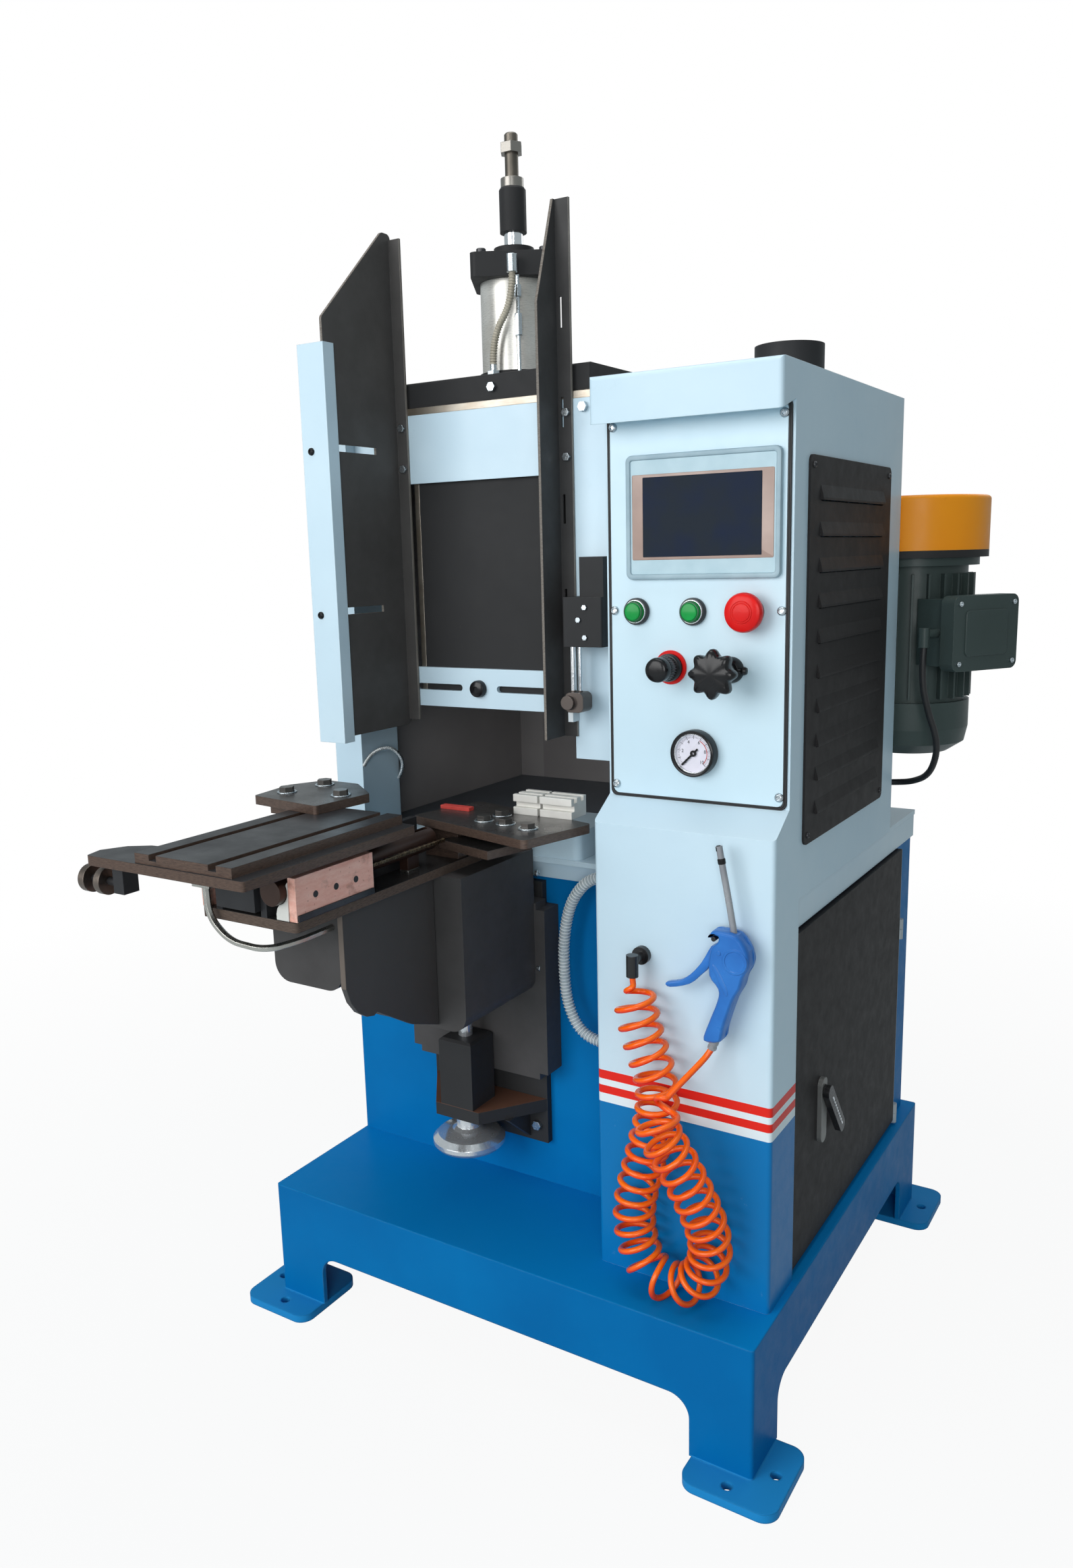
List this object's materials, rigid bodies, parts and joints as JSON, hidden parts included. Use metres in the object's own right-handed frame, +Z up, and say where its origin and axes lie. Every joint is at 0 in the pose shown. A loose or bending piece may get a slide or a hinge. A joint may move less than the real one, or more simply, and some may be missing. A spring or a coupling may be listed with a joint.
{
  "type": "vertical woodworking machine",
  "caption": "Floor-standing vertical woodworking machine with a press ram, knee table, spindle, belt-drive motor and a control pillar with touch screen.",
  "frame": {"origin": "on the floor, at the middle of the base's anchor holes", "axes": "+X to the operator's right, +Y away from the operator, +Z up"},
  "size_m": [1.0017, 1.195, 1.784],
  "materials": {
    "blue_paint": "satin powder coat",
    "pale_paint": "satin powder coat",
    "black_paint": "satin",
    "orange_paint": "satin",
    "motor_paint": "satin",
    "raw_steel": "brushed",
    "dark_steel": "black oxide",
    "bright_chrome": "polished",
    "machined_aluminium": "milled",
    "grey_iron": "machined",
    "grey_plastic": "matt",
    "screen_plastic": "matt",
    "black_plastic": "matt",
    "red_plastic": "gloss",
    "green_plastic": "gloss",
    "gun_plastic": "gloss",
    "orange_hose": "gloss",
    "clear_plastic": "clear",
    "black_rubber": "matt",
    "phenolic": "matt"
  },
  "bodies": {
    "frame": {"base_frame": "blue_paint", "column": "blue_paint", "cabinet_shell": "blue_paint", "control_gear": "grey_plastic", "tray": "pale_paint", "pillar_shell": "pale_paint", "control_panel": "pale_paint", "panel_hardware": "bright_chrome", "hmi": "screen_plastic", "louvre_plate": "black_paint", "duct_cap": "black_plastic", "head_shell": "pale_paint", "top_plate": "raw_steel", "top_beam": "black_paint", "left_guard": "black_paint", "right_guard": "black_paint", "fence_strip": "pale_paint", "cylinder_tube": "raw_steel", "cylinder_caps": "black_paint", "cylinder_hose": "black_rubber", "pipe_fittings": "grey_plastic", "pusher_body": "dark_steel", "spindle_housing": "grey_iron", "belt_guard": "orange_paint", "motor_bracket": "pale_paint", "motor_frame": "motor_paint", "motor_cable": "black_rubber", "drive_belt": "black_rubber", "column_way": "black_paint", "recoil_hose": "orange_hose", "blow_gun": "gun_plastic", "clear_hose": "clear_plastic", "machine_bolts": "dark_steel", "gauge": "black_plastic"},
    "ram": {"ram_carriage": "black_paint", "ram_band": "pale_paint", "ram_rod": "bright_chrome", "stop_sleeve": "black_paint"},
    "pusher": {"pusher_rods": "raw_steel"},
    "spindle": {"spindle": "raw_steel"},
    "rotor": {"motor_rotor": "raw_steel"},
    "knee": {"knee_body": "black_paint", "guide_strips": "dark_steel", "guide_blocks": "phenolic", "feed_cylinder": "machined_aluminium", "right_fixture": "dark_steel", "stop_block": "machined_aluminium"},
    "feed": {"feed_table": "dark_steel", "left_fixture": "dark_steel"},
    "rollers": {"roller_pair": "dark_steel"},
    "screw": {"handwheel": "bright_chrome"},
    "door": {"door": "black_paint"},
    "lever": {"door_lever": "black_plastic"},
    "start": {"start_button": "green_plastic"},
    "cycle": {"cycle_button": "green_plastic"},
    "estop": {"estop_button": "red_plastic"},
    "regulator": {"regulator_knob": "black_plastic"},
    "star": {"star_knob": "black_plastic"},
    "pointer": {"gauge_pointer": "black_plastic"},
    "trigger": {"gun_trigger": "gun_plastic"}
  },
  "joints": [
    {"name": "ram_slide", "type": "slide", "parent": "frame", "child": "ram", "axis": [0, 0, 1], "range_m": [-0.0215, 0]},
    {"name": "pusher_slide", "type": "slide", "parent": "frame", "child": "pusher", "axis": [0, 0, 1], "range_m": [0, 0.06]},
    {"name": "spindle_turn", "type": "hinge", "parent": "frame", "child": "spindle", "pos_m": [-0.127, 0.2125, 1.05], "axis": [0, 0, 1], "continuous": true},
    {"name": "rotor_turn", "type": "hinge", "parent": "frame", "child": "rotor", "pos_m": [0.385, 0.3125, 1.15], "axis": [0, 0, 1], "continuous": true},
    {"name": "knee_slide", "type": "slide", "parent": "frame", "child": "knee", "axis": [0, 0, 1], "range_m": [-0.035, 0.03]},
    {"name": "handwheel_turn", "type": "hinge", "parent": "frame", "child": "screw", "pos_m": [-0.127, -0.2395, 0.4], "axis": [0, 0, 1], "range_deg": [-2520, 2160]},
    {"name": "feed_slide", "type": "slide", "parent": "knee", "child": "feed", "axis": [0, 1, 0], "range_m": [0, 0.25]},
    {"name": "roller_turn", "type": "hinge", "parent": "feed", "child": "rollers", "pos_m": [-0.298, -0.7395, 0.805], "axis": [1, 0, 0], "continuous": true},
    {"name": "door_hinge", "type": "hinge", "parent": "frame", "child": "door", "pos_m": [0.3905, 0.2885, 0.448], "axis": [0, 0, 1], "range_deg": [0, 110]},
    {"name": "lever_turn", "type": "hinge", "parent": "door", "child": "lever", "pos_m": [0.405, -0.1165, 0.43], "axis": [1, 0, 0], "range_deg": [-37.6, 52.4]},
    {"name": "start_press", "type": "slide", "parent": "frame", "child": "start", "axis": [0, 1, 0], "range_m": [0, 0.004], "stiffness_N_per_m": 800},
    {"name": "cycle_press", "type": "slide", "parent": "frame", "child": "cycle", "axis": [0, 1, 0], "range_m": [0, 0.004], "stiffness_N_per_m": 800},
    {"name": "estop_press", "type": "slide", "parent": "frame", "child": "estop", "axis": [0, 1, 0], "range_m": [0, 0.005]},
    {"name": "regulator_turn", "type": "hinge", "parent": "frame", "child": "regulator", "pos_m": [0.237, -0.2875, 1.032], "axis": [0, 1, 0], "range_deg": [-540, 540]},
    {"name": "star_turn", "type": "hinge", "parent": "frame", "child": "star", "pos_m": [0.319, -0.2975, 1.031], "axis": [0, 1, 0], "range_deg": [-720, 720]},
    {"name": "gauge_turn", "type": "hinge", "parent": "frame", "child": "pointer", "pos_m": [0.272, -0.2845, 0.925], "axis": [0, 1, 0], "range_deg": [0, 270]},
    {"name": "trigger_pull", "type": "hinge", "parent": "frame", "child": "trigger", "pos_m": [0.339, -0.3355, 0.694], "axis": [0, -1, 0], "range_deg": [0, 14], "stiffness_Nm_per_rad": 0.6}
  ],
  "couplings": [
    {"joint": "rotor_turn", "follows": "spindle_turn", "ratio": 0.91667},
    {"joint": "handwheel_turn", "follows": "knee_slide", "rad_per_m": 1256.6}
  ]
}
